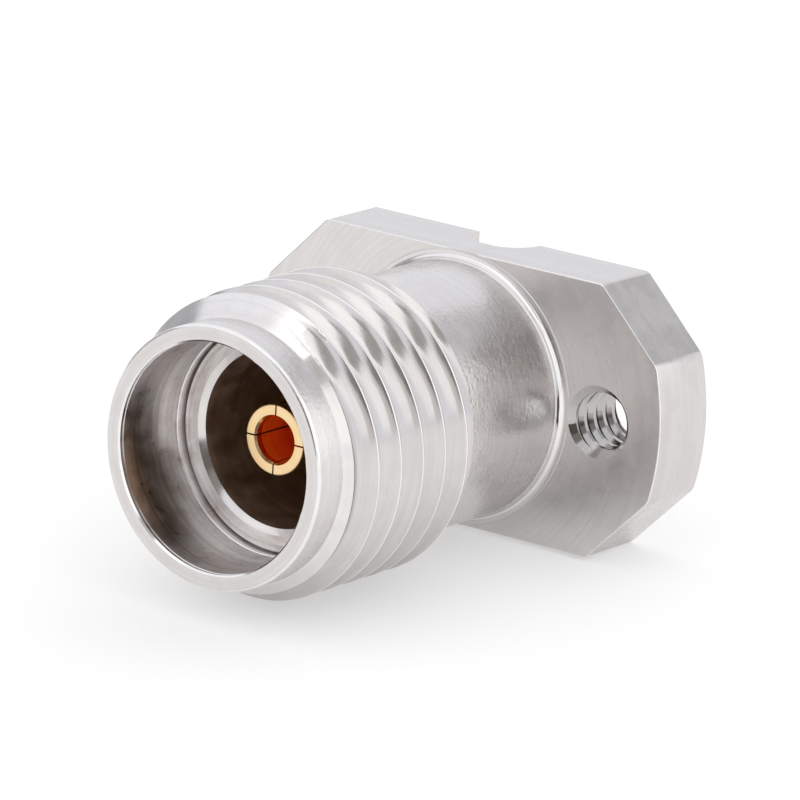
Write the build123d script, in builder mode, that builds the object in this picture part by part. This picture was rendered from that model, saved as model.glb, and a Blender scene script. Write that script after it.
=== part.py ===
from build123d import *
from math import ceil, radians, tan
import os

# Female coaxial connector that is screwed to a circuit board without solder.
# It lies on its side: the mating axis runs along -Y, from the board face at Y = 0 to the
# mating face at Y = -overall_length. The flange is longest along X, and the trace channel
# opens on the +Z side. The origin is the centre of the board face. Sizes are millimetres.

os.makedirs("parts", exist_ok=True)

# Lengths along the mating axis
overall_length = 9.44
flange_thickness = 1.60
thread_length = 3.19
lip_length = 0.74
reference_depth = 1.97

# Outside of the body
flange_diameter = 10.14
foot_to_flat = 0.02
across_clipped_corners = 8.87
flange_corner_radius = 0.35
flange_edge_break = 0.05
barrel_radius = 2.64
barrel_foot_fillet = 0.16
thread_crest_radius = 3.10
thread_pitch = 25.4 / 36
thread_depth = 0.36
thread_crest_flat = 0.08
thread_flank_angle = 30
thread_groove_start = 0.06
lip_wall = 0.34
lip_edge_break = 0.05

# Screw holes, tapped from the board side
tap_drill_radius = 0.60
screw_mouth_chamfer = 0.14
foot_to_screw_mouth = 0.02

# Channel across the board face that clears the board's trace
trace_channel_radius = 0.77

# Stepped bore of the body
mating_bore_radius = 2.30
mating_bore_break = 0.04
shoulder_width = 0.19
bead_seat_height = 1.70
rear_bore_radius = 1.15
exit_radius = 0.77
exit_length = 0.90

# Outer conductor sleeve of the air line
sleeve_wall = 0.35
sleeve_mouth_chamfer = 0.16

# Slotted socket contact
contact_radius = 0.76
contact_nose_chamfer = 0.07
socket_radius = 0.47
socket_depth = 2.20
socket_lead_width = 0.05
socket_lead_depth = 0.13
drill_point_angle = 118
contact_web = 0.30
slot_width = 0.05
slot_length = 2.00

# Tail pin that reaches the board
tail_tip_radius = 0.23
tail_proud = 0.10
tail_tip_chamfer = 0.08
tail_middle_radius = 0.35
tail_collar_radius = 0.49
spigot_radius = 0.29

# Support bead
bead_thickness = 1.20
bead_relief_depth = 0.25
bead_hub_wall = 0.41
bead_rim_wall = 0.38

# Fits: radial gaps of the assembled pieces, and the end gaps of the hidden joints
press_gap = 0.01
slide_gap = 0.01
insulator_recess = 0.03
spigot_end_gap = 0.10

# Radii worked out from the sizes above
flange_radius = flange_diameter / 2
foot_radius = barrel_radius + barrel_foot_fillet
lip_radius = mating_bore_radius + lip_wall
thread_height = thread_crest_radius - barrel_radius
lead_height = thread_crest_radius - lip_radius
screw_mouth_radius = tap_drill_radius + screw_mouth_chamfer
sleeve_seat_radius = mating_bore_radius - shoulder_width
sleeve_radius = sleeve_seat_radius - press_gap
air_line_radius = sleeve_radius - sleeve_wall
bead_radius = sleeve_seat_radius - slide_gap

# Widths and spacings that follow the barrel's foot
flange_width = 2 * (foot_radius + foot_to_flat)
screw_spacing = 2 * (foot_radius + foot_to_screw_mouth + screw_mouth_radius)

# Heights above the board face, counted back from the mating face
thread_front = overall_length - lip_length - lead_height
thread_rear = thread_front - thread_length
reference_plane = overall_length - reference_depth
socket_floor = reference_plane - socket_depth
drill_point_height = socket_radius / tan(radians(drill_point_angle / 2))

# Coupling thread groove: its widths, and the whole turns that it takes from front to rear
thread_root_radius = thread_crest_radius - thread_depth
flank_slope = tan(radians(thread_flank_angle))
cutter_rise = thread_crest_flat / 2
groove_half_width = (thread_pitch - thread_crest_flat) / 2
root_half_width = groove_half_width - thread_depth * flank_slope
mouth_half_width = groove_half_width + cutter_rise * flank_slope
mouth_radius = thread_crest_radius + cutter_rise
groove_front = thread_front + thread_groove_start
groove_turns = ceil((groove_front - thread_rear + thread_height) / thread_pitch) + 1

# Heights above the board face, counted up from it
bead_front = bead_seat_height + bead_thickness
rear_socket_top = socket_floor - drill_point_height - contact_web
spigot_top = rear_socket_top - spigot_end_gap

# Half section: local x runs out from the mating axis, local y from the board to the mating face
half_section = Plane(origin=(0, 0, 0), x_dir=(1, 0, 0), z_dir=(0, 0, -1))

# The same half section at the underside, where each turn of the coupling thread starts
underside_section = Plane(origin=(0, 0, 0), x_dir=(0, 0, -1), z_dir=(-1, 0, 0))

# Body: one turned and milled piece
with BuildPart() as body:
    # Flange: a disc with two flats and four clipped corners
    with BuildSketch(Plane.XZ) as flange_outline:
        Circle(flange_radius)
        Rectangle(flange_diameter, flange_width, mode=Mode.INTERSECT)
        Rectangle(
            across_clipped_corners,
            across_clipped_corners,
            rotation=45,
            mode=Mode.INTERSECT,
        )
        fillet(flange_outline.vertices(), flange_corner_radius)
    extrude(amount=flange_thickness)
    outline_edges = body.edges().filter_by(Plane.XZ)
    chamfer(outline_edges, flange_edge_break)

    # Barrel, threaded length and front lip
    with BuildSketch(half_section) as outside_profile:
        with BuildLine():
            Polyline((0, 0), (foot_radius, 0), (foot_radius, flange_thickness))
            RadiusArc(
                (foot_radius, flange_thickness),
                (barrel_radius, flange_thickness + barrel_foot_fillet),
                barrel_foot_fillet,
            )
            Polyline(
                (barrel_radius, flange_thickness + barrel_foot_fillet),
                (barrel_radius, thread_rear - thread_height),
                (thread_crest_radius, thread_rear),
                (thread_crest_radius, thread_front),
                (lip_radius, thread_front + lead_height),
                (lip_radius, overall_length - lip_edge_break),
                (lip_radius - lip_edge_break, overall_length),
                (0, overall_length),
                (0, 0),
            )
        make_face()
    revolve(axis=Axis.Y)

    # Coupling thread: a right-hand groove with an open top, cut turn by turn from front to rear
    for turn in range(groove_turns):
        height = groove_front - turn * thread_pitch
        with BuildLine() as groove_path:
            Helix(
                thread_pitch,
                thread_pitch,
                thread_root_radius,
                center=(0, -height, 0),
                direction=(0, -1, 0),
            )
        with BuildSketch(underside_section) as groove_section:
            with BuildLine():
                Polyline(
                    (thread_root_radius, height - root_half_width),
                    (mouth_radius, height - mouth_half_width),
                    (mouth_radius, height + mouth_half_width),
                    (thread_root_radius, height + root_half_width),
                    (thread_root_radius, height - root_half_width),
                )
            make_face()
        sweep(
            sections=groove_section.sketch,
            path=groove_path.line,
            is_frenet=True,
            mode=Mode.SUBTRACT,
        )

    # Stepped bore for the mating connector, the sleeve, the bead and the rear insulator
    with BuildSketch(half_section) as bore_profile:
        with BuildLine():
            Polyline(
                (0, 0),
                (exit_radius, 0),
                (exit_radius, exit_length),
                (rear_bore_radius, exit_length),
                (rear_bore_radius, bead_seat_height),
                (sleeve_seat_radius, bead_seat_height),
                (sleeve_seat_radius, reference_plane),
                (mating_bore_radius, reference_plane),
                (mating_bore_radius, overall_length - mating_bore_break),
                (mating_bore_radius + mating_bore_break, overall_length),
                (0, overall_length),
                (0, 0),
            )
        make_face()
    revolve(axis=Axis.Y, mode=Mode.SUBTRACT)

    # Tapped holes, with a countersunk mouth on both faces
    with BuildSketch(Plane.XZ) as screw_holes:
        with GridLocations(screw_spacing, 0, 2, 1):
            Circle(tap_drill_radius)
    extrude(amount=flange_thickness, mode=Mode.SUBTRACT)
    hole_mouths = body.edges().filter_by(
        lambda edge: edge.geom_type == GeomType.CIRCLE
        and abs(edge.radius - tap_drill_radius) < 1e-6
    )
    chamfer(hole_mouths, screw_mouth_radius - tap_drill_radius)

    # Trace channel, from the centre out through the upper edge of the flange
    with BuildSketch(Plane.XY) as channel_section:
        Circle(trace_channel_radius)
    extrude(amount=flange_width, mode=Mode.SUBTRACT)

body.part.label = "body"
export_step(body.part, "parts/body.step")

# Outer conductor sleeve, pressed in from the front until it clamps the bead
with BuildPart() as outer_conductor_sleeve:
    with BuildSketch(half_section) as sleeve_profile:
        with BuildLine():
            Polyline(
                (air_line_radius, bead_front),
                (sleeve_radius, bead_front),
                (sleeve_radius, reference_plane),
                (air_line_radius + sleeve_mouth_chamfer, reference_plane),
                (air_line_radius, reference_plane - sleeve_mouth_chamfer),
                (air_line_radius, bead_front),
            )
        make_face()
    revolve(axis=Axis.Y)

outer_conductor_sleeve.part.label = "outer_conductor_sleeve"
export_step(outer_conductor_sleeve.part, "parts/outer_conductor_sleeve.step")

# Socket contact: a slotted tube in front, a bore for the tail pin behind
rear_socket_radius = spigot_radius + press_gap
with BuildPart() as socket_contact:
    with BuildSketch(half_section) as contact_profile:
        with BuildLine():
            Polyline(
                (rear_socket_radius, bead_front),
                (contact_radius, bead_front),
                (contact_radius, reference_plane - contact_nose_chamfer),
                (contact_radius - contact_nose_chamfer, reference_plane),
                (0, reference_plane),
                (0, rear_socket_top),
                (rear_socket_radius, rear_socket_top),
                (rear_socket_radius, bead_front),
            )
        make_face()
    revolve(axis=Axis.Y)

    # Drilled socket for the mating pin, with a lead-in at its mouth
    with BuildSketch(half_section) as socket_profile:
        with BuildLine():
            Polyline(
                (0, socket_floor - drill_point_height),
                (socket_radius, socket_floor),
                (socket_radius, reference_plane - socket_lead_depth),
                (socket_radius + socket_lead_width, reference_plane),
                (0, reference_plane),
                (0, socket_floor - drill_point_height),
            )
        make_face()
    revolve(axis=Axis.Y, mode=Mode.SUBTRACT)

    # Two crossing saw cuts leave four spring fingers
    with BuildSketch(Plane.XZ.offset(reference_plane)) as finger_slots:
        Rectangle(2 * contact_radius, slot_width)
        Rectangle(slot_width, 2 * contact_radius)
    extrude(amount=-slot_length, mode=Mode.SUBTRACT)

socket_contact.part.label = "socket_contact"
export_step(socket_contact.part, "parts/socket_contact.step")

# Tail pin: tip, middle step, collar in the bead and spigot in the contact
with BuildPart() as tail_pin:
    with BuildSketch(half_section) as tail_profile:
        with BuildLine():
            Polyline(
                (0, -tail_proud),
                (tail_tip_radius - tail_tip_chamfer, -tail_proud),
                (tail_tip_radius, -tail_proud + tail_tip_chamfer),
                (tail_tip_radius, exit_length),
                (tail_middle_radius, exit_length),
                (tail_middle_radius, bead_seat_height),
                (tail_collar_radius, bead_seat_height),
                (tail_collar_radius, bead_front),
                (spigot_radius, bead_front),
                (spigot_radius, spigot_top),
                (0, spigot_top),
                (0, -tail_proud),
            )
        make_face()
    revolve(axis=Axis.Y)

tail_pin.part.label = "tail_pin"
export_step(tail_pin.part, "parts/tail_pin.step")

# Support bead: a disc thinned between its hub and its rim
bead_bore_radius = tail_collar_radius + slide_gap
with BuildPart() as support_bead:
    with BuildSketch(Plane.XZ.offset(bead_seat_height)) as bead_outline:
        Circle(bead_radius)
        Circle(bead_bore_radius, mode=Mode.SUBTRACT)
    extrude(amount=bead_thickness)
    with BuildSketch(Plane.XZ.offset(bead_front)) as front_relief:
        Circle(bead_radius - bead_rim_wall)
        Circle(bead_bore_radius + bead_hub_wall, mode=Mode.SUBTRACT)
    extrude(amount=-bead_relief_depth, mode=Mode.SUBTRACT)
    with BuildSketch(Plane.XZ.offset(bead_seat_height)) as rear_relief:
        Circle(bead_radius - bead_rim_wall)
        Circle(bead_bore_radius + bead_hub_wall, mode=Mode.SUBTRACT)
    extrude(amount=bead_relief_depth, mode=Mode.SUBTRACT)

support_bead.part.label = "support_bead"
export_step(support_bead.part, "parts/support_bead.step")

# Rear insulator: a shouldered bush between the bead and the board face
with BuildPart() as rear_insulator:
    with BuildSketch(half_section) as insulator_profile:
        with BuildLine():
            Polyline(
                (tail_tip_radius + slide_gap, insulator_recess),
                (exit_radius - slide_gap, insulator_recess),
                (exit_radius - slide_gap, exit_length),
                (rear_bore_radius - slide_gap, exit_length),
                (rear_bore_radius - slide_gap, bead_seat_height),
                (tail_middle_radius + slide_gap, bead_seat_height),
                (tail_middle_radius + slide_gap, exit_length),
                (tail_tip_radius + slide_gap, exit_length),
                (tail_tip_radius + slide_gap, insulator_recess),
            )
        make_face()
    revolve(axis=Axis.Y)

rear_insulator.part.label = "rear_insulator"
export_step(rear_insulator.part, "parts/rear_insulator.step")
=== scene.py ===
"""The dressed model of a coaxial connector that is screwed to a circuit board.

The pieces are turned and milled round the mating axis in millimetres, then laid into the frame:
the axis frame has x along the flange, y up and z along the mating axis, away from the board.
"""

from math import atan2, cos, pi, radians, sin, sqrt, tan

import bmesh
import bpy
from mathutils import Matrix, Vector


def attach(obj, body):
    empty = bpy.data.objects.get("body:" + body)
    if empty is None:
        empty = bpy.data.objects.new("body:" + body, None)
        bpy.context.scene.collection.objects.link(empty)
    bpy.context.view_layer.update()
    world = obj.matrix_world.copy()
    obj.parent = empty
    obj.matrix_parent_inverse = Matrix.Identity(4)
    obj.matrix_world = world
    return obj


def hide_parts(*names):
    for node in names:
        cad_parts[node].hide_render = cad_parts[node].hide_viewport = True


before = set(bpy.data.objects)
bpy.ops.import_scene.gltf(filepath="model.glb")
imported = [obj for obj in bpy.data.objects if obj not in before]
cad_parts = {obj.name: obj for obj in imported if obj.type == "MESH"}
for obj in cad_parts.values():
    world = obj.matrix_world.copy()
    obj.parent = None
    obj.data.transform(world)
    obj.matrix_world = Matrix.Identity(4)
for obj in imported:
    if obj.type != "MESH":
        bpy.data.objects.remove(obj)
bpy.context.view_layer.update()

MM = 0.001
MICRON = 0.000001

# How many steps make a round, on the body and in its screw holes
AROUND = 192
AROUND_HOLE = 96

# Shading: the least turn that reads as an edge, and how far large faces rule their neighbours' normals
SHARP_ANGLE = radians(32)
FLAT_WEIGHT = 95

# Lengths along the mating axis, from the board face
OVERALL = 9.44
FLANGE_THICKNESS = 1.60
THREAD_REAR = 5.05
THREAD_FRONT = 8.24
REFERENCE_PLANE = 7.47
BEAD_SEAT = 1.70
BEAD_FRONT = 2.90
EXIT_LENGTH = 0.90

# Radii of the body
FLANGE_RADIUS = 5.07
FLANGE_HALF_WIDTH = 2.82
CLIPPED_CORNER = 4.435
BARREL_RADIUS = 2.64
FOOT_RADIUS = 2.80
CREST_RADIUS = 3.10
LIP_RADIUS = 2.64
MATING_BORE = 2.30
SLEEVE_SEAT = 2.11
REAR_BORE = 1.15
EXIT_BORE = 0.77
TRACE_CHANNEL = 0.77

# Coupling thread
PITCH = 25.4 / 36
GROOVE_TURNS = 7
ROOT_RADIUS = 2.77
CREST_FLAT = 0.03
CREST_ROUND = 0.035
GROOVE_HEIGHT = 8.474

# Tapped screw holes
HOLE_PLACE = 3.56
TAP_DRILL = 0.60
HOLE_MOUTH = 0.74
SCREW_PITCH = 25.4 / 80
SCREW_TURNS = 8
SCREW_MAJOR = 0.75

# Sleeve and contact
AIR_LINE = 1.75
SEAT_GAP = 0.0005
CONTACT_RADIUS = 0.76
CONTACT_REAR_BORE = 0.30
PIN_END = 4.69
SOCKET_RADIUS = 0.47
SOCKET_DEPTH = 2.20
SOCKET_CONE = 0.28
LEAD_IN = 0.19
SLOT_WIDTH = 0.035
SLOT_LENGTH = 2.00

# Finishes of the body, in the order of its materials; the edges' finish is partly a painted highlight, and
# the last a painted shade
TURNED, BORED, FACED, MILLED, THREADED, TAPPED, EDGES, CHAMFERED, CREST_SHADE_SIDE = range(9)

# Colours of the bare metals and the plating
TURNED_STEEL = (0.73, 0.71, 0.705)
BORED_STEEL = (0.85, 0.83, 0.825)
FACED_STEEL = (0.7, 0.68, 0.675)
STEEL = (0.67, 0.65, 0.645)
TAP_STEEL = (0.5, 0.485, 0.48)
# Burnished edges, lightened beyond the steel to paint their highlight lines
HIGHLIGHT_EDGE_STEEL = (0.9, 0.89, 0.885)
LEAD_STEEL = (0.82, 0.8, 0.795)
# Painted shade: a dark steel for the side of each crest that faces the plate
PAINTED_SHADE_STEEL = (0.3, 0.29, 0.285)
SLEEVE_METAL = (0.73, 0.71, 0.7)
SHADED_METAL = (0.58, 0.45, 0.36)
GOLD = (0.9, 0.72, 0.45)
# Painted bounce light: gold plating made redder for the socket's inside, for the light bounced deep in it
BOUNCE_RED_GOLD = (1.0, 0.2, 0.01)

# How far a stain tints a metal
FAINT_STAIN = (0.94, 0.93, 0.92)
GREY_STAIN = (0.72, 0.68, 0.665)
WARM_STAIN = (0.9, 0.85, 0.8)
GOLD_STAIN = (0.97, 0.88, 0.75)
DEEP_GOLD_STAIN = (0.9, 0.7, 0.5)


def arc(centre, radius, start, end, steps):
    """Points of a round stretch of a profile, from one angle to another, in degrees."""
    points = []
    for step in range(steps + 1):
        angle = radians(start + (end - start) * step / steps)
        points.append((centre[0] + radius * cos(angle), centre[1] + radius * sin(angle)))
    return points


def outline(profile):
    """A bmesh with the corners of a closed (radius, height) profile, and the pairs that are neighbours."""
    bm = bmesh.new()
    corners = [bm.verts.new((radius, 0, height)) for radius, height in profile]
    return bm, zip(corners, corners[1:] + corners[:1])


def turned(profile, around=AROUND):
    """A closed solid of revolution from a closed profile."""
    bm, pairs = outline(profile)
    for first, second in pairs:
        if first.co.x + second.co.x > 0:
            bm.edges.new((first, second))
    bmesh.ops.spin(
        bm,
        geom=list(bm.verts) + list(bm.edges),
        cent=(0, 0, 0),
        axis=(0, 0, 1),
        angle=2 * pi,
        steps=around,
        use_merge=True,
    )
    bmesh.ops.remove_doubles(bm, verts=bm.verts, dist=1e-4)
    bmesh.ops.recalc_face_normals(bm, faces=bm.faces)
    return bm


def coiled(profile, pitch, turns, around=AROUND):
    """A closed solid that winds a closed profile into a right-hand helix of whole turns."""
    bm, pairs = outline(profile)
    for first, second in pairs:
        bm.edges.new((first, second))
    bmesh.ops.spin(
        bm,
        geom=list(bm.verts) + list(bm.edges),
        cent=(0, 0, 0),
        axis=(0, 0, 1),
        dvec=(0, 0, pitch / around),
        angle=2 * pi,
        steps=around,
        use_merge=False,
    )
    one_turn = list(bm.verts) + list(bm.edges) + list(bm.faces)
    for turn in range(1, turns):
        copied = bmesh.ops.duplicate(bm, geom=one_turn)["geom"]
        bmesh.ops.translate(bm, verts=only_verts(copied), vec=(0, 0, pitch * turn))
    bmesh.ops.remove_doubles(bm, verts=bm.verts, dist=1e-3)
    open_ends = [edge for edge in bm.edges if edge.is_boundary]
    bmesh.ops.holes_fill(bm, edges=open_ends, sides=len(profile))
    bmesh.ops.recalc_face_normals(bm, faces=bm.faces)
    return bm


def only_verts(geometry):
    """The vertices among what an operator made."""
    return [item for item in geometry if isinstance(item, bmesh.types.BMVert)]


def workpiece(bm, name):
    """A bmesh as an object in the scene, in the units it was made in."""
    mesh = bpy.data.meshes.new(name)
    bm.to_mesh(mesh)
    bm.free()
    piece = bpy.data.objects.new(name, mesh)
    bpy.context.scene.collection.objects.link(piece)
    return piece


def machine(piece, tool, operation="DIFFERENCE"):
    """Cuts the tool's solid from the piece, or joins it on, and puts the tool away."""
    step = piece.modifiers.new("step", "BOOLEAN")
    step.operation = operation
    step.solver = "MANIFOLD"
    step.object = tool
    made = piece.evaluated_get(bpy.context.evaluated_depsgraph_get())
    mesh = bpy.data.meshes.new_from_object(made)
    piece.modifiers.clear()
    piece.data = mesh
    bpy.data.objects.remove(tool)


def at(bm, x, y=0, z=0):
    """Moves a bmesh to a place in the axis frame."""
    bmesh.ops.translate(bm, verts=bm.verts, vec=(x, y, z))
    return bm


def degrees_turned(vert):
    """How far the outline of a flat plate turns at one of its vertices."""
    first, second = (edge.other_vert(vert).co - vert.co for edge in vert.link_edges[:2])
    return 180 - first.angle(second) * 180 / pi


def flange_plate():
    """The flange: a disc with two flats and four clipped corners, its corners and rims broken."""
    bm = bmesh.new()
    bmesh.ops.create_circle(bm, cap_ends=True, radius=FLANGE_RADIUS, segments=AROUND)
    cuts = [((0, side), FLANGE_HALF_WIDTH) for side in (-1, 1)]
    cuts += [((x * sqrt(0.5), y * sqrt(0.5)), CLIPPED_CORNER) for x in (-1, 1) for y in (-1, 1)]
    for (x, y), distance in cuts:
        bmesh.ops.bisect_plane(
            bm,
            geom=list(bm.verts) + list(bm.edges) + list(bm.faces),
            dist=1e-5,
            plane_co=(x * distance, y * distance, 0),
            plane_no=(x, y, 0),
            clear_outer=True,
        )
    bmesh.ops.remove_doubles(bm, verts=bm.verts, dist=1e-3)
    square_corners = (35, 60, 0.07)
    blunt_corners = (15, 35, 0.09)
    for least_turn, most_turn, setback in (square_corners, blunt_corners):
        corners = [vert for vert in bm.verts if least_turn < degrees_turned(vert) < most_turn]
        bmesh.ops.bevel(
            bm,
            geom=corners,
            offset=setback,
            affect="VERTICES",
            segments=5,
            profile=0.5,
            material=-1,
        )
    raised = bmesh.ops.extrude_face_region(bm, geom=list(bm.faces))["geom"]
    bmesh.ops.translate(bm, verts=only_verts(raised), vec=(0, 0, FLANGE_THICKNESS))
    bmesh.ops.recalc_face_normals(bm, faces=bm.faces)
    rims = [edge for edge in bm.edges if abs(edge.verts[0].co.z - edge.verts[1].co.z) < 1e-6]
    rim_break = 0.065
    bmesh.ops.bevel(
        bm,
        geom=rims,
        offset=rim_break,
        affect="EDGES",
        segments=3,
        profile=0.5,
        clamp_overlap=True,
        material=-1,
    )
    return bm


def outside_profile():
    """The turned outside: foot fillet with a tool line each side, barrel, thread blank and lip."""
    inside_plate = FLANGE_THICKNESS / 2
    sunk = FLANGE_THICKNESS - 0.001
    collar = FOOT_RADIUS + 0.04
    line = 0.012
    fillet = FOOT_RADIUS - BARREL_RADIUS - 0.02
    fillet_top = FLANGE_THICKNESS + fillet
    rise = CREST_RADIUS - BARREL_RADIUS
    lead = CREST_RADIUS - LIP_RADIUS
    blank = CREST_RADIUS - 0.001
    edge = 0.07
    return [
        (0, inside_plate),
        (collar, inside_plate),
        (collar, sunk),
        (FOOT_RADIUS + 0.03, FLANGE_THICKNESS + line),
        *arc((FOOT_RADIUS, FLANGE_THICKNESS + line + fillet), fillet, start=270, end=184, steps=8),
        (FOOT_RADIUS - fillet - 0.004, fillet_top + 0.02),
        (BARREL_RADIUS - 0.006, fillet_top + 0.045),
        (BARREL_RADIUS, fillet_top + 0.075),
        (BARREL_RADIUS, THREAD_REAR - rise),
        (blank, THREAD_REAR),
        (blank, THREAD_FRONT),
        (LIP_RADIUS, THREAD_FRONT + lead),
        *arc((LIP_RADIUS - edge, OVERALL - edge), edge, start=0, end=90, steps=4),
        (0, OVERALL),
    ]


def bore_profile():
    """What is bored out of the body, from the board face to the mating face.

    A dark joint line runs round the sleeve's face, and a tool line near each end of the mating bore."""
    below = -1
    above = OVERALL + 0.1
    joint_depth = REFERENCE_PLANE - 0.06
    inner_wall = MATING_BORE - 0.012
    outer_wall = MATING_BORE + 0.004
    line = MATING_BORE + 0.03
    mouth = 0.035
    return [
        (0, below),
        (EXIT_BORE, below),
        (EXIT_BORE, EXIT_LENGTH),
        (REAR_BORE, EXIT_LENGTH),
        (REAR_BORE, BEAD_SEAT),
        (SLEEVE_SEAT, BEAD_SEAT),
        (SLEEVE_SEAT, REFERENCE_PLANE),
        (MATING_BORE - 0.07, REFERENCE_PLANE),
        (MATING_BORE - 0.065, joint_depth),
        (MATING_BORE - 0.04, joint_depth),
        (MATING_BORE - 0.03, REFERENCE_PLANE),
        (inner_wall, REFERENCE_PLANE + 0.03),
        (inner_wall, REFERENCE_PLANE + 0.16),
        (MATING_BORE + 0.01, REFERENCE_PLANE + 0.175),
        (MATING_BORE, REFERENCE_PLANE + 0.2),
        (MATING_BORE, OVERALL - 0.13),
        (line, OVERALL - 0.115),
        (line, OVERALL - 0.095),
        (outer_wall, OVERALL - 0.08),
        (outer_wall, OVERALL - mouth),
        (MATING_BORE + mouth + 0.1, above),
        (0, above),
    ]


def groove_section(crest, root, pitch, flat, edge_round, height):
    """One thread groove: 60 degree flanks that run out into a broad round root, and rounded crest edges."""
    half = (pitch - flat) / 2
    flank = radians(30)
    slope = tan(flank)
    straight = 0.09
    root_half_width = 0.06
    root_steps = 9
    flank_end = (crest - straight, half - straight * slope)
    upper = []
    for step in range(root_steps):
        share = step / root_steps
        pull = 2 * share * (1 - share)
        upper.append(
            (
                root * (1 - share) ** 2 + root * pull + flank_end[0] * share**2,
                height + root_half_width * pull + flank_end[1] * share**2,
            )
        )
    upper.append((flank_end[0], height + flank_end[1]))
    edge_centre = height + (half + edge_round * slope)
    upper += arc((crest - edge_round, edge_centre), edge_round, start=-60, end=0, steps=5)
    upper.append((crest + 0.1, edge_centre))
    lower = [(radius, 2 * height - place) for radius, place in reversed(upper)]
    return upper + lower[:-1]


def screw_hole_tools(side):
    """The drill with its countersinks for both faces, and the tap, of one screw hole."""
    past = 0.1
    sink = 0.085
    wide = TAP_DRILL + (HOLE_MOUTH - TAP_DRILL) * (sink + past) / sink
    drill = turned(
        [
            (0, -past),
            (wide, -past),
            (TAP_DRILL, sink),
            (TAP_DRILL, FLANGE_THICKNESS - sink),
            (wide, FLANGE_THICKNESS + past),
            (0, FLANGE_THICKNESS + past),
        ],
        AROUND_HOLE,
    )
    half_flat = 0.015
    flank = radians(33)
    half = (SCREW_MAJOR - TAP_DRILL) * tan(flank) + half_flat
    inner = TAP_DRILL - 0.05
    start = past * 4
    tap = coiled(
        [
            (inner, -half - start),
            (TAP_DRILL, -half - start),
            (SCREW_MAJOR, -half_flat - start),
            (SCREW_MAJOR, half_flat - start),
            (TAP_DRILL, half - start),
            (inner, half - start),
        ],
        SCREW_PITCH,
        SCREW_TURNS,
        AROUND_HOLE,
    )
    return [at(drill, side * HOLE_PLACE), at(tap, side * HOLE_PLACE)]


def channel_cutter():
    """A round bar that clears the trace, from the board face's centre out through the upper flat."""
    length = 4
    bar = bmesh.new()
    bmesh.ops.create_cone(
        bar,
        cap_ends=True,
        segments=64,
        radius1=TRACE_CHANNEL,
        radius2=TRACE_CHANNEL,
        depth=length,
    )
    bmesh.ops.rotate(bar, verts=bar.verts, cent=(0, 0, 0), matrix=Matrix.Rotation(pi / 2, 3, "X"))
    return at(bar, 0, length / 2)


def body_solid():
    """The whole body, machined from the flange plate and the turned blank."""
    body = workpiece(flange_plate(), "turned_body")
    machine(body, workpiece(turned(outside_profile()), "blank"), "UNION")
    first_groove = GROOVE_HEIGHT - (GROOVE_TURNS - 1) * PITCH
    section = groove_section(CREST_RADIUS, ROOT_RADIUS, PITCH, CREST_FLAT, CREST_ROUND, first_groove)
    machine(body, workpiece(coiled(section, PITCH, GROOVE_TURNS), "threading"))
    machine(body, workpiece(turned(bore_profile()), "boring"))
    for side in (-1, 1):
        for tool in screw_hole_tools(side):
            machine(body, workpiece(tool, "hole"))
    machine(body, workpiece(channel_cutter(), "channel"))
    return body


def finish_by_place(piece):
    """Gives each face of the body its own finish, in the axis frame and before it is laid in the frame; the
    edges' finish is partly a painted highlight and the crests' plate side a painted shade.
    """
    near = 0.001
    flat = 0.95
    margin = 0.1
    run_out = 0.5
    crest_skin = 0.014
    for face in piece.data.polygons:
        x, y, height = face.center
        radius = sqrt(x * x + y * y)
        from_hole = sqrt((abs(x) - HOLE_PLACE) ** 2 + y * y)
        lean = abs(face.normal.z)
        on_plate_face = lean > flat and min(height, abs(height - FLANGE_THICKNESS)) < near
        in_channel = abs(x) < TRACE_CHANNEL + 0.01 < radius and y > 0 and height < TRACE_CHANNEL
        in_screw_hole = from_hole < 0.85 and height < FLANGE_THICKNESS + 0.011 and lean < 0.9
        in_bore = radius < MATING_BORE + margin and height < OVERALL - near
        at_bore_mouth = height > OVERALL - 0.06 and lean > 0.2
        at_lip_edge = height > OVERALL - 0.075 and lean < 0.93
        on_mating_face = height > OVERALL - near
        on_plate = height < FLANGE_THICKNESS + near and radius > FOOT_RADIUS
        along_thread = THREAD_REAR - margin < height < THREAD_FRONT + margin
        on_crest = along_thread and radius > CREST_RADIUS - crest_skin
        toward_plate = face.normal.z < -0.25
        on_foot = height < FLANGE_THICKNESS + 0.17 and radius > BARREL_RADIUS + 0.01
        on_lead = abs(radius + height - CREST_RADIUS - THREAD_FRONT) < 0.02
        within_run_outs = THREAD_REAR - run_out < height < THREAD_FRONT + run_out
        in_thread = within_run_outs and radius > BARREL_RADIUS + 0.02
        # The edge finish is burnished steel lightened into a painted highlight
        if on_plate_face:
            finish = FACED
        elif in_channel:
            finish = MILLED
        elif in_screw_hole:
            finish = TAPPED
        elif in_bore:
            finish = EDGES if at_bore_mouth else BORED
        elif at_lip_edge:
            finish = EDGES
        elif on_mating_face:
            finish = FACED
        elif on_plate:
            finish = FACED if lean > flat else MILLED if lean < 0.05 else EDGES
        # Painted shade on each crest's side toward the plate; the edge finish on its other side is partly a
        # painted highlight
        elif on_crest:
            finish = CREST_SHADE_SIDE if toward_plate else EDGES
        elif on_foot:
            # Painted highlight: the fillet next to the barrel takes the lightened edge finish
            finish = EDGES if radius < FOOT_RADIUS - 0.07 else FACED
        elif on_lead:
            finish = CHAMFERED
        elif in_thread:
            finish = THREADED
        else:
            finish = TURNED
        face.material_index = finish


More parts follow.
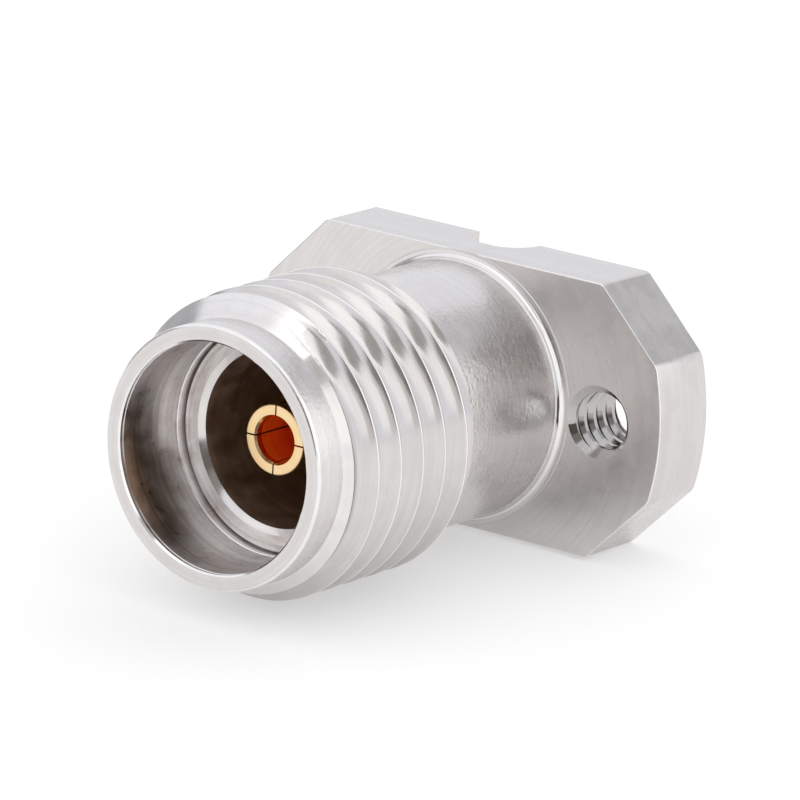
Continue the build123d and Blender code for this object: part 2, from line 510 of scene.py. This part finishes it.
def sleeve_solid():
    """The outer conductor's sleeve, its mouth turned in two steps and its inside told apart."""
    face_rim = AIR_LINE + 0.17
    profile = [
        (AIR_LINE, BEAD_FRONT),
        (SLEEVE_SEAT - SEAT_GAP, BEAD_FRONT),
        (SLEEVE_SEAT - SEAT_GAP, REFERENCE_PLANE),
        (face_rim, REFERENCE_PLANE),
        (AIR_LINE + 0.15, REFERENCE_PLANE - 0.012),
        (AIR_LINE + 0.04, REFERENCE_PLANE - 0.085),
        (AIR_LINE, REFERENCE_PLANE - 0.25),
    ]
    sleeve = workpiece(turned(profile), "air_line_sleeve")
    for face in sleeve.data.polygons:
        x, y, height = face.center
        face.material_index = int(x * x + y * y < (AIR_LINE + 0.02) ** 2)
    return sleeve


def contact_profile():
    """The centre contact: fingers closed in a little in front, a lead-in, and a bore for the pin behind."""
    nose = 0.03
    return [
        (CONTACT_REAR_BORE, BEAD_FRONT),
        (CONTACT_RADIUS, BEAD_FRONT),
        (CONTACT_RADIUS, REFERENCE_PLANE - 1.4),
        (CONTACT_RADIUS - 0.05, REFERENCE_PLANE - 0.06),
        *arc((CONTACT_RADIUS - 0.08, REFERENCE_PLANE - nose), nose, start=0, end=90, steps=4),
        (SOCKET_RADIUS + 0.035, REFERENCE_PLANE),
        (SOCKET_RADIUS, REFERENCE_PLANE - 0.05),
        (SOCKET_RADIUS - 0.005, REFERENCE_PLANE - LEAD_IN),
        (SOCKET_RADIUS - 0.01, REFERENCE_PLANE - 0.4),
        (SOCKET_RADIUS, REFERENCE_PLANE - SOCKET_DEPTH),
        (0, REFERENCE_PLANE - SOCKET_DEPTH - SOCKET_CONE),
        (0, PIN_END),
        (CONTACT_REAR_BORE, PIN_END),
    ]


def contact_solid():
    """The centre contact, slotted crosswise into four fingers, with its socket's inside told apart for a
    painted bounce glow.
    """
    contact = workpiece(turned(contact_profile()), "spring_contact")
    past = 0.1
    reach = 2
    for x, y in ((1, 0), (0, 1)):
        saw = bmesh.new()
        bmesh.ops.create_cube(saw, size=1)
        blade = (reach * x + SLOT_WIDTH * y, reach * y + SLOT_WIDTH * x, SLOT_LENGTH + past)
        bmesh.ops.scale(saw, verts=saw.verts, vec=blade)
        machine(contact, workpiece(at(saw, 0, 0, REFERENCE_PLANE - SLOT_LENGTH / 2 + past / 2), "saw"))
    for face in contact.data.polygons:
        x, y, height = face.center
        in_socket = sqrt(x * x + y * y) < SOCKET_RADIUS + 0.002
        face.material_index = int(in_socket and height < REFERENCE_PLANE - LEAD_IN)
    return contact


def lay_in_frame(piece, cad_node, slot, *materials):
    """Turns a finished piece into the row's frame, in metres, in place of its CAD node."""
    piece.data.transform(Matrix.Scale(MM, 4) @ Matrix.Rotation(pi / 2, 4, "X"))
    finishes = [face.material_index for face in piece.data.polygons]
    piece.data.materials.clear()
    for material in materials:
        piece.data.materials.append(material)
    piece.data.polygons.foreach_set("material_index", finishes)
    piece.data.shade_smooth()
    piece.data.set_sharp_from_angle(angle=SHARP_ANGLE)
    for face in piece.data.polygons:
        square_to_axis = abs(face.normal.y) >= 0.99999
        face.use_smooth = not square_to_axis
    flat = piece.modifiers.new("flat_faces", "WEIGHTED_NORMAL")
    flat.weight = FLAT_WEIGHT
    flat.keep_sharp = True
    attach(piece, "root")
    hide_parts(cad_node)


def wire(tree, kind, inputs, **fields):
    """Adds a node, sets its fields, and sets or links its inputs."""
    made = tree.nodes.new(kind)
    for field, value in fields.items():
        setattr(made, field, value)
    for name, value in inputs.items():
        if isinstance(value, bpy.types.NodeSocket):
            tree.links.new(value, made.inputs[name])
        else:
            made.inputs[name].default_value = value
    return made


def new_material(name):
    """A new material and its node tree."""
    material = bpy.data.materials.new(name)
    material.use_nodes = True
    return material, material.node_tree


def number(tree, operation, inputs):
    """The result of one step of arithmetic on numbers."""
    return wire(tree, "ShaderNodeMath", inputs, operation=operation).outputs[0]


def vector(tree, operation, inputs):
    """The result of one step of arithmetic on vectors."""
    return wire(tree, "ShaderNodeVectorMath", inputs, operation=operation).outputs["Vector"]


def noise(tree, place, scale, detail, **more):
    """The strength of a noise laid out over a place."""
    inputs = {"Vector": place, "Scale": scale, "Detail": detail, **more}
    return wire(tree, "ShaderNodeTexNoise", inputs).outputs["Fac"]


def ramp(tree, value, least, most, first, last):
    """A value taken from one range to another."""
    inputs = {"Value": value, "From Min": least, "From Max": most, "To Min": first, "To Max": last}
    return wire(tree, "ShaderNodeMapRange", inputs).outputs[0]


def blend(tree, share, colour, other):
    """A mix of two colours."""
    inputs = {"Factor": share, "A": (*colour, 1), "B": (*other, 1)}
    return wire(tree, "ShaderNodeMix", inputs, data_type="RGBA").outputs["Result"]


def bump(tree, height, depth, strength=1.0, **more):
    """The normal of a surface that a pattern raises by a depth in micrometres."""
    inputs = {"Height": height, "Strength": strength, "Distance": depth * MICRON, **more}
    return wire(tree, "ShaderNodeBump", inputs).outputs[0]


def places_in_mm(tree):
    """The place on the piece in millimetres, its radius from the mating axis and its height along it."""
    in_metres = wire(tree, "ShaderNodeTexCoord", {}).outputs["Object"]
    place = vector(tree, "MULTIPLY", {0: in_metres, 1: (1000, 1000, 1000)})
    across = vector(tree, "MULTIPLY", {0: place, 1: (1, 0, 1)})
    radius = wire(tree, "ShaderNodeVectorMath", {0: across}, operation="LENGTH").outputs["Value"]
    height = wire(tree, "ShaderNodeSeparateXYZ", {0: place}).outputs["Y"]
    return place, radius, height


def tool_track(tree, radius, height):
    """The coordinates that tool marks follow: alike all the way round the mating axis."""
    return wire(tree, "ShaderNodeCombineXYZ", {"X": radius, "Y": height, "Z": 0}).outputs[0]


def machined_metal(name, colour, roughness, lines, grain, stain=FAINT_STAIN, along=False, shaded_roots=None):
    """A metal with tool marks, a finer grain, a cloudy sheen and faint stains.

    The lines and the grain are given as how many fall on a millimetre and how deep they are in micrometres.
    The tool marks run round the mating axis, or along the edge of the plate where along is true.
    Where two radii are given for the roots, painted shade darkens the metal from the outer of them to the
    inner one, for the shade deep in the thread's roots."""
    material, tree = new_material(name)
    shader = tree.nodes["Principled BSDF"]
    place, radius, height = places_in_mm(tree)
    track = tool_track(tree, 0 if along else radius, height)
    drift = wire(tree, "ShaderNodeTexNoise", {"Vector": place, "Scale": 1.4, "Detail": 2}).outputs["Color"]
    wander = 0.05
    drift = vector(tree, "SCALE", {0: drift, "Scale": wander})
    track = vector(tree, "ADD", {0: track, 1: drift})
    marks = noise(tree, track, scale=lines[0], detail=1.5, Roughness=0.5)
    pits = noise(tree, place, scale=grain[0], detail=1.5, Roughness=0.5)
    cloud = noise(tree, place, scale=2.1, detail=4, Roughness=0.55, Distortion=0.4)
    worn = number(tree, "MULTIPLY", {0: cloud, 1: marks})
    worn = ramp(tree, worn, least=0.17, most=0.33, first=1.0, last=0.0)
    tint = blend(tree, worn, colour, [part * share for part, share in zip(colour, stain)])
    # Painted shade: the thread roots darken towards the root radius, for the shade that falls deep in the
    # grooves
    if shaded_roots:
        deepest_shade = 0.62
        shade_factor = ramp(tree, radius, least=shaded_roots[0], most=shaded_roots[1], first=deepest_shade, last=1.0)
        tint = vector(tree, "SCALE", {0: tint, "Scale": shade_factor})
    sheen = ramp(tree, cloud, least=0.3, most=0.7, first=roughness * 0.8, last=roughness * 1.2)
    coarse = bump(tree, marks, depth=lines[1])
    fine = bump(tree, pits, depth=grain[1], Normal=coarse)
    tree.links.new(tint, shader.inputs["Base Color"])
    tree.links.new(sheen, shader.inputs["Roughness"])
    tree.links.new(fine, shader.inputs["Normal"])
    shader.inputs["Metallic"].default_value = 1
    return material


def machined_plastic(name, colour, deep_colour, roughness):
    """A turned plastic with faint tool lines and a little depth of colour."""
    material, tree = new_material(name)
    shader = tree.nodes["Principled BSDF"]
    place, radius, height = places_in_mm(tree)
    track = tool_track(tree, radius, height)
    marks = noise(tree, track, scale=18, detail=3)
    cloud = noise(tree, place, scale=2.5, detail=4)
    tint = blend(tree, cloud, colour, deep_colour)
    lined = bump(tree, marks, depth=2, strength=0.6)
    tree.links.new(tint, shader.inputs["Base Color"])
    tree.links.new(lined, shader.inputs["Normal"])
    shader.inputs["Roughness"].default_value = roughness
    return material


def emission(tree, colour, strength):
    """The output of a light of its own."""
    return wire(tree, "ShaderNodeEmission", {"Color": (*colour, 1), "Strength": strength}).outputs[0]


def set_floor():
    """A wide pale floor under the flange's lower edge and the rear crest of the thread."""
    back_edge = Vector((0, 0, -FLANGE_HALF_WIDTH)) * MM
    thread_edge = Vector((0, -THREAD_REAR, -CREST_RADIUS)) * MM
    fall = atan2(back_edge.z - thread_edge.z, back_edge.y - thread_edge.y)
    bm = bmesh.new()
    half_side = 1.5
    bmesh.ops.create_grid(bm, x_segments=1, y_segments=1, size=half_side)
    floor = workpiece(bm, "floor")
    floor.data.transform(Matrix.Translation(back_edge) @ Matrix.Rotation(fall, 4, "X"))
    material, tree = new_material("white_table")
    tree.nodes.clear()
    paint = wire(tree, "ShaderNodeBsdfDiffuse", {"Color": (0.96, 0.96, 0.96, 1)})
    glow = emission(tree, (1, 1, 1), 1.08)
    path = wire(tree, "ShaderNodeLightPath", {}).outputs
    seen_share = 0.4
    mirrored_share = 0.3
    mirrored = number(tree, "MAXIMUM", {0: path["Is Glossy Ray"], 1: path["Is Transmission Ray"]})
    mirrored = number(tree, "MULTIPLY", {0: mirrored, 1: mirrored_share})
    share = number(tree, "MULTIPLY_ADD", {0: path["Is Camera Ray"], 1: seen_share, 2: mirrored})
    mix = wire(tree, "ShaderNodeMixShader", {0: share, 1: paint.outputs[0], 2: glow})
    wire(tree, "ShaderNodeOutputMaterial", {"Surface": mix.outputs[0]})
    floor.data.materials.append(material)


def set_light():
    """An even white room, and a broad soft sun behind that only lights what is matt."""
    world = bpy.data.worlds.new("white_room")
    bpy.context.scene.world = world
    world.use_nodes = True
    tree = world.node_tree
    is_matt = wire(tree, "ShaderNodeLightPath", {}).outputs["Is Diffuse Ray"]
    sky = blend(tree, is_matt, (0.98, 0.99, 1.03), (1.04, 1.03, 1.025))
    tree.links.new(sky, tree.nodes["Background"].inputs["Color"])
    lamp = bpy.data.lights.new("soft_sun", "SUN")
    lamp.energy = 0.25
    lamp.angle = radians(60)
    sun = bpy.data.objects.new("soft_sun", lamp)
    bpy.context.scene.collection.objects.link(sun)
    sun.rotation_euler = (radians(-32), 0, radians(-6))
    sun.visible_glossy = False


def away(azimuth, elevation):
    """The direction from the connector to an azimuth and elevation, in degrees."""
    azimuth, elevation = radians(azimuth), radians(elevation)
    return Vector((sin(azimuth) * cos(elevation), -cos(azimuth) * cos(elevation), sin(elevation)))


def facing_back(direction):
    """The turn of a thing that stands out in a direction and looks back at the connector."""
    return (-direction).to_track_quat("-Z", "Y").to_matrix().to_4x4()


def card(name, place, size, colour, strength=1.0, distance=0.6):
    """A panel round the table that only reflections see.

    Its place, as azimuth and elevation, and its width and height are in degrees, seen from the connector."""
    direction = away(*place)
    bm = bmesh.new()
    bmesh.ops.create_grid(bm, x_segments=1, y_segments=1, size=0.5)
    sides = [2 * distance * tan(radians(angle) / 2) for angle in size]
    bmesh.ops.scale(bm, verts=bm.verts, vec=(*sides, 1))
    panel = workpiece(bm, name)
    panel.data.transform(Matrix.Translation(direction * distance) @ facing_back(direction))
    material, tree = new_material(name)
    tree.nodes.clear()
    wire(tree, "ShaderNodeOutputMaterial", {"Surface": emission(tree, colour, strength)})
    panel.data.materials.append(material)
    panel.visible_camera = False
    panel.visible_diffuse = False
    panel.visible_shadow = False


def set_camera():
    """The photograph's viewpoint, with a long lens."""
    place = Vector((85.132, -118.286, 39.236)) * MM
    roll = radians(3.188)
    data = bpy.data.cameras.new("camera")
    camera = bpy.data.objects.new("camera", data)
    bpy.context.scene.collection.objects.link(camera)
    turn = facing_back(away(azimuth=36.546, elevation=15.323)) @ Matrix.Rotation(roll, 4, "Z")
    camera.matrix_world = Matrix.Translation(place) @ turn
    data.lens = 334.468
    data.sensor_width = 36
    data.clip_start = 0.01
    data.clip_end = 10
    bpy.context.scene.camera = camera


# Radii between which painted shade darkens the thread roots
root_shade_radii = (ROOT_RADIUS, ROOT_RADIUS + 0.03)
body_finishes = [
    machined_metal("turned_steel", TURNED_STEEL, 0.27, lines=(13, 0.5), grain=(11, 6.5)),
    machined_metal("bored_steel", BORED_STEEL, 0.32, lines=(9, 0.8), grain=(8, 2.6), stain=GREY_STAIN),
    machined_metal("faced_steel", FACED_STEEL, 0.23, lines=(15, 0.12), grain=(11, 0.9)),
    machined_metal("milled_steel", STEEL, 0.28, lines=(18, 0.35), grain=(12, 0.35), along=True),
    machined_metal("threaded_steel", STEEL, 0.15, lines=(12, 0.4), grain=(10, 0.4), shaded_roots=root_shade_radii),
    machined_metal("tapped_steel", TAP_STEEL, 0.1, lines=(12, 0.3), grain=(9, 0.5)),
    # Burnished edges, lightened to paint their highlight lines
    machined_metal("burnished_edges_painted_highlight", HIGHLIGHT_EDGE_STEEL, 0.1, lines=(12, 0.1), grain=(9, 0.3)),
    machined_metal("chamfered_steel", LEAD_STEEL, 0.18, lines=(12, 0.4), grain=(10, 0.4)),
    # Painted shade for the crests' sides toward the plate
    machined_metal("painted_crest_shade", PAINTED_SHADE_STEEL, 0.2, lines=(12, 0.2), grain=(9, 0.3)),
]
sleeve_finishes = [
    machined_metal("sleeve_mouth", SLEEVE_METAL, 0.13, lines=(14, 0.1), grain=(9, 0.2)),
    machined_metal("sleeve_inside", SHADED_METAL, 0.5, lines=(9, 0.6), grain=(7, 0.6), stain=WARM_STAIN),
]
gold_plate = machined_metal("gold_plate", GOLD, 0.17, lines=(14, 0.2), grain=(9, 0.5), stain=GOLD_STAIN)
# Painted bounce glow: a redder, half metallic gold that scatters more light back out of the socket than
# plated gold would
gold_painted_bounce = machined_metal(
    "gold_painted_bounce",
    BOUNCE_RED_GOLD,
    0.55,
    lines=(9, 0.6),
    grain=(7, 2.0),
    stain=DEEP_GOLD_STAIN,
)
gold_painted_bounce.node_tree.nodes["Principled BSDF"].inputs["Metallic"].default_value = 0.45
amber_plastic = machined_plastic("amber_plastic", (0.46, 0.30, 0.17), (0.34, 0.2, 0.1), 0.4)
white_plastic = machined_plastic("white_plastic", (0.86, 0.86, 0.84), (0.78, 0.78, 0.76), 0.5)

body = body_solid()
finish_by_place(body)
lay_in_frame(body, "body", "stainless_steel", *body_finishes)
lay_in_frame(sleeve_solid(), "outer_conductor_sleeve", "stainless_steel", *sleeve_finishes)
lay_in_frame(contact_solid(), "socket_contact", "gold_plate", gold_plate, gold_painted_bounce)
for node, material in (
    ("tail_pin", gold_plate),
    ("support_bead", amber_plastic),
    ("rear_insulator", white_plastic),
):
    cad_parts[node].data.materials.clear()
    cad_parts[node].data.materials.append(material)

set_floor()
set_light()
card("dark_cloth", place=(12, 5), size=(32, 24), colour=(0.13, 0.112, 0.1), distance=0.5)
card("brown_cloth", place=(9, 22.5), size=(36, 12), colour=(0.3, 0.285, 0.275), distance=0.5)
card("upper_cloth", place=(24, 48), size=(34, 14), colour=(0.46, 0.45, 0.44), distance=0.5)
card("grey_cloth", place=(30, 14), size=(20, 36), colour=(0.82, 0.8, 0.79), distance=0.55)
card("grey_wall_left", place=(-84, 12), size=(50, 26), colour=(0.45, 0.45, 0.47))
card("grey_wall_behind", place=(161, 38), size=(34, 24), colour=(0.61, 0.61, 0.63))
card("front_window", place=(-34, 26), size=(30, 56), colour=(1, 1, 1), strength=1.1)
card("side_window", place=(47, 27), size=(14, 46), colour=(1, 1, 1), strength=1.22)
card("roof_window", place=(20, 62), size=(60, 20), colour=(1, 1, 1), strength=1.4)
card("far_window", place=(112, 22), size=(58, 44), colour=(1, 1, 1), strength=1.3)
set_camera()
bpy.context.scene.view_settings.view_transform = "Standard"
